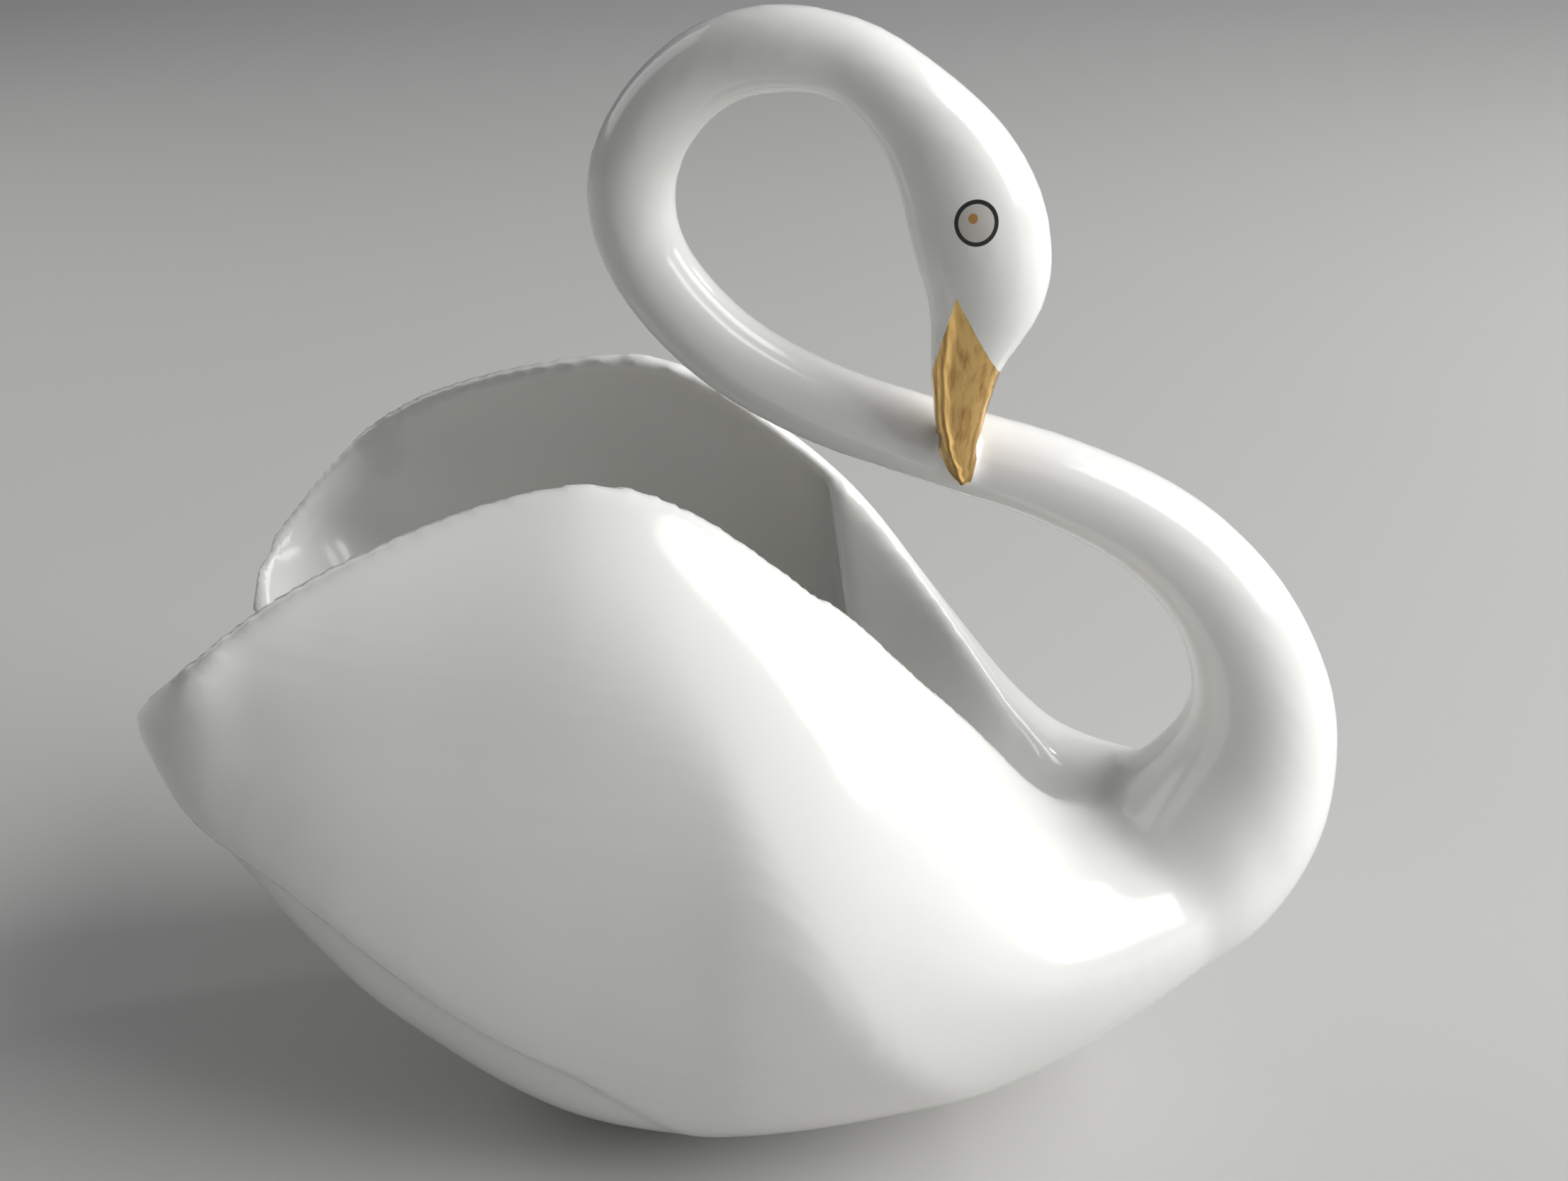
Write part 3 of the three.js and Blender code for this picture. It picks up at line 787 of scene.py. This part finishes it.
def body_parts(s):
    """The solids that are joined and cut to make the swan."""
    def flush(x, side, z):
        """The wings reach the outer surface."""
        return 0

    def inside_wings(x, side, z):
        """The bowl lies inside the wings."""
        return bowl_inset(x, side, s)

    long, high, wide = s.length, s.height, s.width
    edge_x = np.linspace(WING_EDGE_BACK, WING_EDGE_FRONT, EDGE_POINTS)
    edge = [(x * long, wing_edge(x) * high) for x in edge_x]
    edge += [(long, edge[-1][1]), (long, 2 * high), (-long, 2 * high), (-long, edge[0][1])]
    crest_x = np.linspace(OPENING_BACK, OPENING_FRONT, RIM_POINTS)
    crest = [(x * long, rim_height(x) * high) for x in crest_x]
    crest += [(OPENING_FRONT * long, 2 * high), (OPENING_BACK * long, 2 * high)]
    half = s.tail_notch / 2
    notch = [
        (a * half, (NOTCH_FLOOR + (NOTCH_TOP - NOTCH_FLOOR) * a * a) * high)
        for a in np.linspace(-1, 1, VALLEY_POINTS)
    ]
    notch += [(half, 2 * high), (-half, 2 * high)]
    notch_rings = [[(x, y, z) for y, z in notch] for x in (-long, NOTCH_FRONT * long)]
    oval = np.linspace(0, 2 * math.pi, OVAL_POINTS, endpoint=False)
    foot = [
        (s.foot_middle + s.foot_length / 2 * math.cos(t), s.foot_width / 2 * math.sin(t))
        for t in oval
    ]
    foot_depth = (s.foot_sink, s.foot_sink + FOOT_DEPTH * s.wall)
    below = [(-wide * 2, -wide), (wide * 2, -wide), (wide * 2, wide), (-wide * 2, wide)]
    return {
        "Wings": egg("wings", s, (BACK, FRONT), flush, (0, 0), WING_COUNTS),
        "Wing region": prism("wing_region", edge, (-wide, wide), "side"),
        "Bowl": egg(
            "bowl", s, (BACK, BOWL_FRONT), inside_wings, (0, 0), BOWL_COUNTS, lambda x: BOWL_TOP
        ),
        "Foot": prism("foot", foot, foot_depth, "plan"),
        "Opening": prism("opening", crest, (-wide, wide), "side"),
        "Notch": skin("notch", notch_rings),
        "Below foot": prism("below_foot", below, (-high, s.foot_sink), "plan"),
    }


def beak_or_neck(mesh, s, shift):
    """Stores how much nearer each point is to the head and beak than to the neck behind them."""
    line = neck_path(s)
    middle = line[:, :3] + shift
    co = points_of(mesh)
    gap = {}
    for name, chosen in (("beak", line[:, 5] > CROWN), ("neck", line[:, 5] < LOOP_START)):
        best = np.full(len(co), s.length)
        for point, radius in zip(middle[chosen], line[chosen, 3]):
            best = np.minimum(best, np.linalg.norm(co - point, axis=1) - radius)
        gap[name] = best
    store = mesh.attributes.new("beak_side", "FLOAT", "POINT")
    lead = (gap["neck"] - gap["beak"]) / MM
    store.data.foreach_set("value", np.clip(lead, -BEAK_LEAD, BEAK_LEAD))


def painted_crease_shade(mesh):
    """Stores how hollow the surface is at each point, where painted shade darkens the creases."""
    count = len(mesh.vertices)
    co = points_of(mesh)
    normal = np.zeros(count * 3)
    mesh.vertex_normals.foreach_get("vector", normal)
    normal = normal.reshape(-1, 3)
    ends = np.zeros(len(mesh.edges) * 2, int)
    mesh.edges.foreach_get("vertices", ends)
    a, b = ends.reshape(-1, 2).T
    pull = np.zeros(count)
    reach = np.zeros(count)
    along = co[b] - co[a]
    np.add.at(pull, a, np.einsum("ij,ij->i", along, normal[a]))
    np.add.at(pull, b, -np.einsum("ij,ij->i", along, normal[b]))
    square = np.einsum("ij,ij->i", along, along)
    np.add.at(reach, a, square)
    np.add.at(reach, b, square)
    bend = pull / reach * MM
    for _ in range(CREASE_SHADE_ROUNDS):
        total, number = bend.copy(), np.ones(count)
        np.add.at(total, a, bend[b])
        np.add.at(total, b, bend[a])
        np.add.at(number, a, 1)
        np.add.at(number, b, 1)
        bend = total / number
    store = mesh.attributes.new("hollow", "FLOAT", "POINT")
    store.data.foreach_set("value", np.clip(bend * CREASE_SHADE_GAIN, -1, 1))


# Materials


def cells(size):
    """How many cells of a pattern lie along one metre, from their size in millimetres."""
    return 1 / (size * MM)


def glazed_porcelain(s, colours):
    """Slip-cast porcelain under a clear white glaze, painted and gilded on the glaze.

    The glaze gives a wet shine with soft-edged lights over a white that lets a little light in.
    The gold has long browner streaks down the beak, which are painted dark reflection.
    """
    material = bpy.data.materials.new("glazed_porcelain_with_fired_gold")
    material.use_nodes = True
    tree = material.node_tree
    shader = tree.nodes["Principled BSDF"]
    for name, value in (("IOR", 1.5), ("Subsurface Weight", 0.12), ("Subsurface Scale", 1.5 * MM)):
        shader.inputs[name].default_value = value
    shader.inputs["Subsurface Radius"].default_value = (1.0, 0.9, 0.8)

    def math_node(operation, *values, clamp=False):
        """One step of arithmetic on numbers or sockets."""
        node = add_node(tree, "ShaderNodeMath", operation=operation, use_clamp=clamp)
        for socket, value in zip(node.inputs, values):
            if isinstance(value, (int, float)):
                socket.default_value = value
            else:
                tree.links.new(value, socket)
        return node.outputs[0]

    def mix_colour(share, first, second):
        """A colour between two, which are colours or sockets."""
        # A Mix node's colours are its inputs 6 and 7 and its output 2
        node = add_node(tree, "ShaderNodeMix", data_type="RGBA")
        tree.links.new(share, node.inputs[0])
        for socket, value in ((node.inputs[6], first), (node.inputs[7], second)):
            if isinstance(value, bpy.types.NodeSocket):
                tree.links.new(value, socket)
            else:
                socket.default_value = (*value, 1)
        return node.outputs[2]

    place = add_node(tree, "ShaderNodeTexCoord").outputs["Object"]
    split = add_node(tree, "ShaderNodeSeparateXYZ", links={"Vector": place})
    x, z = split.outputs["X"], split.outputs["Z"]
    soft = PAINT_EDGE * MM

    # Painted eye: a dark ring round a pale ground with an ochre dot
    def within(radius, centre=EYE):
        """1 inside a round spot on the head's side and 0 outside it."""
        from_x = math_node("SUBTRACT", x, centre[0] * MM)
        from_z = math_node("SUBTRACT", z, centre[1] * MM)
        from_z = math_node("MULTIPLY", from_z, HEAD_SLANT)
        squares = [math_node("MULTIPLY", value, value) for value in (from_x, from_z)]
        far = math_node("SQRT", math_node("ADD", *squares))
        return math_node("DIVIDE", math_node("SUBTRACT", radius, far), soft, clamp=True)

    in_eye = within(s.eye)
    in_ground = within(s.eye - s.eye_line)
    in_dot = within(s.eye_dot, EYE_DOT)

    # Gilding: everything on the beak's side that lies below both lines of the V
    def below(first, second):
        """How far a point lies below the line through two points, in the side view."""
        along = Vector((second[0] - first[0], second[1] - first[1])).normalized()
        side = 1 if along.x > 0 else -1
        part_x = math_node("MULTIPLY", math_node("SUBTRACT", x, first[0] * MM), along.y * side)
        part_z = math_node("MULTIPLY", math_node("SUBTRACT", z, first[1] * MM), -along.x * side)
        return math_node("ADD", part_x, part_z)

    brush = add_node(
        tree, "ShaderNodeTexNoise", links={"Vector": place},
        inputs={"Scale": cells(BRUSH_MARK), "Detail": 2.0, "Roughness": 0.6},
    )
    around = math_node("SUBTRACT", brush.outputs["Fac"], 0.5)
    ragged = math_node("MULTIPLY", around, BRUSH_EDGE * MM)
    inside_v = math_node("MINIMUM", below(GILT_TOP, GILT_FRONT), below(GILT_TOP, GILT_BACK))
    edge = math_node("DIVIDE", math_node("ADD", inside_v, ragged), soft, clamp=True)
    on_beak = add_node(tree, "ShaderNodeAttribute", attribute_name="beak_side")
    beak_side = math_node("DIVIDE", on_beak.outputs["Fac"], BEAK_EDGE, clamp=True)
    not_body = math_node("GREATER_THAN", z, BODY_TOP * MM)
    gilt = math_node("MULTIPLY", math_node("MULTIPLY", edge, beak_side), not_body)

    # Painted dark reflection: long browner streaks down the beak
    stretched = add_node(
        tree, "ShaderNodeMapping", links={"Vector": place},
        inputs={"Scale": (1.0, 1.0, STREAK_SHARE)},
    )
    reflection_streaks = add_node(
        tree, "ShaderNodeTexNoise", links={"Vector": stretched.outputs["Vector"]},
        inputs={"Scale": cells(STREAK_WIDTH), "Detail": 3.0, "Roughness": 0.55},
    )
    # Painted dark reflection: where the streaks rise, the gold is painted browner
    over = math_node("SUBTRACT", reflection_streaks.outputs["Fac"], DARK_REFLECTION_FROM)
    thin = math_node("MULTIPLY", over, DARK_REFLECTION_GAIN, clamp=True)
    gold = mix_colour(thin, colours.gilding, colours.dark_reflection)

    # Painted shade: the creases are painted darker and greener, and the paint lies over it
    hollow = add_node(tree, "ShaderNodeAttribute", attribute_name="hollow")
    crease_shade = math_node("MULTIPLY", hollow.outputs["Fac"], CREASE_SHADE_TINT, clamp=True)
    white = mix_colour(crease_shade, colours.glaze, colours.crease_shade)
    eyed = mix_colour(in_eye, white, colours.ring)
    eyed = mix_colour(in_ground, eyed, colours.iris)
    eyed = mix_colour(in_dot, eyed, colours.dot)
    tree.links.new(mix_colour(gilt, eyed, gold), shader.inputs["Base Color"])
    tree.links.new(gilt, shader.inputs["Metallic"])
    rough = math_node("MULTIPLY_ADD", gilt, GOLD_ROUGHER, GLAZE_ROUGH)
    painted = math_node("MULTIPLY_ADD", in_eye, PAINT_ROUGHER, rough)
    tree.links.new(painted, shader.inputs["Roughness"])

    # The glaze isn't quite even: it has slow, shallow waves, which stop at the gold
    waves = add_node(
        tree, "ShaderNodeTexNoise", links={"Vector": place},
        inputs={"Scale": cells(GLAZE_WAVE), "Detail": 1.0},
    )
    on_glaze = math_node("MULTIPLY", waves.outputs["Fac"], math_node("SUBTRACT", 1, gilt))
    bump = add_node(
        tree, "ShaderNodeBump", links={"Height": on_glaze},
        inputs={"Strength": 0.2, "Distance": 0.05 * MM},
    )
    tree.links.new(bump.outputs["Normal"], shader.inputs["Normal"])
    return material


def matt_floor(colour):
    """Smooth matt paint rolled on board: even and pale, with only the faintest cloud in it."""
    material = bpy.data.materials.new("matt_painted_board")
    material.use_nodes = True
    tree = material.node_tree
    shader = tree.nodes["Principled BSDF"]
    shader.inputs["Roughness"].default_value = FLOOR_ROUGH
    place = add_node(tree, "ShaderNodeTexCoord").outputs["Object"]
    cloud = add_node(
        tree, "ShaderNodeTexNoise", links={"Vector": place},
        inputs={"Scale": cells(FLOOR_CLOUD), "Detail": 3.0},
    )
    tint = add_node(tree, "ShaderNodeMix", data_type="RGBA")
    tint.inputs[6].default_value = (*colour, 1)
    tint.inputs[7].default_value = (*(c * CLOUD_SHADE for c in colour), 1)
    tree.links.new(cloud.outputs["Fac"], tint.inputs[0])
    tree.links.new(tint.outputs[2], shader.inputs["Base Color"])
    return material


# Operators


class SWAN_OT_cast_figurine(bpy.types.Operator):
    """Cast, polish and glaze the swan, with its painted eyes and gilded beak"""

    bl_idname = "swan.cast_figurine"
    bl_label = "Cast the swan"

    def execute(self, context):
        s, colours = context.scene.swan_sizes, context.scene.swan_colours
        porcelain = glazed_porcelain(s, colours)
        parts = body_parts(s)
        base = placed("shell_blank", bpy.data.meshes.new("shell_blank"))
        use_tree(base, shell_tree(), {**parts, "Material": porcelain})
        shell = finished(base, "shell")
        if not shell.data.polygons:
            raise RuntimeError("the swan's solids could not be joined")
        line = neck_path(s)
        neck = swept("neck", line[line[:, 5] <= NECK_END], porcelain)
        head = swept("head", line[line[:, 5] >= HEAD_START], porcelain)
        solids = (shell, valley(s), neck, head, cavity(s))
        cast = cast_swan(solids, s)
        for part in (*parts.values(), *solids):
            bpy.data.objects.remove(part)
        use_tree(cast, glaze_tree(), {"Polish": s.polish, "Material": porcelain})
        swan = finished(cast, "porcelain_swan")

        low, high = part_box(NODE)
        co = points_of(swan.data)
        along = (low.x + high.x) / 2 - (co[:, 0].min() + co[:, 0].max()) / 2
        shift = Vector((along, 0, -co[:, 2].min()))
        swan.data.transform(Matrix.Translation(shift))
        beak_or_neck(swan.data, s, np.array(shift))
        painted_crease_shade(swan.data)
        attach(swan, "root")
        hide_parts(NODE)
        return {"FINISHED"}


class SWAN_OT_set_stage(bpy.types.Operator):
    """Lay the pale floor, hang the soft lights and place the camera"""

    bl_idname = "swan.set_stage"
    bl_label = "Set the stage"

    def execute(self, context):
        studio = context.scene.swan_studio
        scene = context.scene
        corners = [(a * FLOOR_HALF, b * FLOOR_HALF, 0) for a, b in ((-1, -1), (1, -1), (1, 1), (-1, 1))]
        floor = mesh_object("floor", corners, [(0, 1, 2, 3)])
        floor.data.materials.append(matt_floor(studio.floor))

        world = bpy.data.worlds.new("room")
        world.use_nodes = True
        ground = world.node_tree.nodes["Background"]
        ground.inputs["Color"].default_value = (*studio.sky, 1)
        tree = world.node_tree
        place = add_node(tree, "ShaderNodeTexCoord").outputs["Generated"]
        split = add_node(tree, "ShaderNodeSeparateXYZ", links={"Vector": place})
        brightness = add_node(tree, "ShaderNodeMapRange", links={"Value": split.outputs["X"]}, inputs={
            "From Min": DIM_FROM, "From Max": BRIGHT_FROM,
            "To Min": studio.dim, "To Max": studio.room,
        }, interpolation_type="SMOOTHSTEP")
        tree.links.new(brightness.outputs["Result"], ground.inputs["Strength"])
        scene.world = world

        for name, power, place, side in LIGHTS:
            self.hang(name, place, side, getattr(studio, power))

        camera = placed("camera", bpy.data.cameras.new("camera"))
        camera.data.sensor_width = SENSOR_WIDTH
        camera.data.lens = studio.focal
        camera.data.clip_start = NEAREST
        a, e = studio.azimuth, studio.elevation
        back = Vector((math.sin(a) * math.cos(e), -math.cos(a) * math.cos(e), math.sin(e)))
        camera.location = Vector(studio.aim) + back * studio.distance
        camera.rotation_euler = (-back).to_track_quat("-Z", "Y").to_euler()
        scene.camera = camera
        scene.view_settings.view_transform = "Standard"
        return {"FINISHED"}

    def hang(self, name, place, side, power):
        """A square soft light that faces the swan."""
        light = bpy.data.lights.new(name, "AREA")
        light.shape = "SQUARE"
        light.size = side
        light.energy = power
        lamp = placed(name, light)
        lamp.location = place
        ahead = Vector(LIT_PLACE) - Vector(place)
        lamp.rotation_euler = ahead.to_track_quat("-Z", "Y").to_euler()


class SWAN_PT_panel(bpy.types.Panel):
    """Sizes, colours and steps of the porcelain swan"""

    bl_label = "Porcelain swan"
    bl_space_type = "VIEW_3D"
    bl_region_type = "UI"
    bl_category = "Swan"

    def draw(self, context):
        layout = self.layout
        for name, kind in GROUPS:
            column = layout.column()
            for entry in kind.__annotations__:
                column.prop(getattr(context.scene, name), entry)
        layout.operator(SWAN_OT_cast_figurine.bl_idname)
        layout.operator(SWAN_OT_set_stage.bl_idname)


GROUPS = (("swan_sizes", SwanSizes), ("swan_colours", SwanColours), ("swan_studio", SwanStudio))
CLASSES = (
    SwanSizes, SwanColours, SwanStudio, SWAN_OT_cast_figurine, SWAN_OT_set_stage, SWAN_PT_panel,
)


def register():
    """Makes the sizes, steps and panel known."""
    for item in CLASSES:
        bpy.utils.register_class(item)
    for name, group in GROUPS:
        setattr(bpy.types.Scene, name, PointerProperty(type=group))


def unregister():
    """Takes them away again."""
    for name, _ in GROUPS:
        delattr(bpy.types.Scene, name)
    for item in reversed(CLASSES):
        bpy.utils.unregister_class(item)


def main():
    """Builds the stage and the swan."""
    register()
    bpy.ops.swan.set_stage()
    bpy.ops.swan.cast_figurine()


if __name__ == "__main__":
    main()
